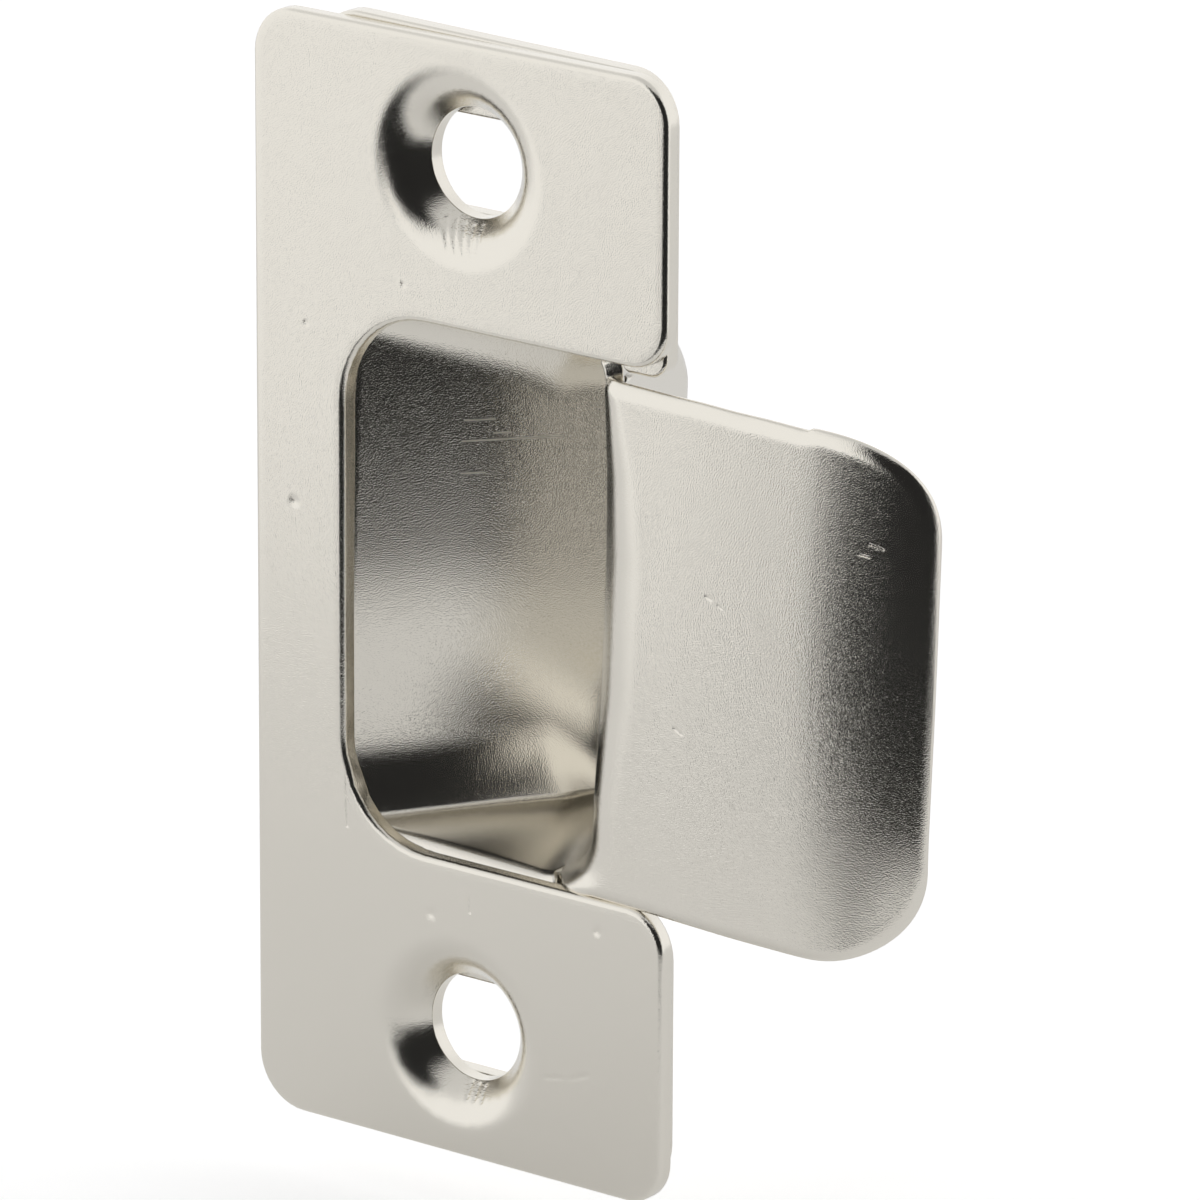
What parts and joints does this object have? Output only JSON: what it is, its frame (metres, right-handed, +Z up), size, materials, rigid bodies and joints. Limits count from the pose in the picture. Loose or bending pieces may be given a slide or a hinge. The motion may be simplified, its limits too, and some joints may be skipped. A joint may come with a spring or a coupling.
{
  "type": "door strike plate",
  "caption": "Adjustable door strike: a notched, dimpled face plate over a slotted plate with a drawn latch pocket and a forward latch lip.",
  "frame": {"origin": "midway between the two screw-hole centres, on the front face of the face plate", "axes": "+X points the way the lip reaches, +Y goes back into the door jamb, +Z is up along the plate"},
  "size_m": [0.0406, 0.0139, 0.0577],
  "materials": {
    "face_nickel": "satin nickel plate on stamped steel",
    "lip_nickel": "satin nickel plate on drawn steel"
  },
  "bodies": {
    "face": {"face_plate": "face_nickel"},
    "lip": {"lip_plate": "lip_nickel"}
  },
  "joints": [
    {"name": "lip_adjust", "type": "slide", "parent": "face", "child": "lip", "axis": [1, 0, 0], "range_m": [-0.00357, 0.00103]}
  ]
}
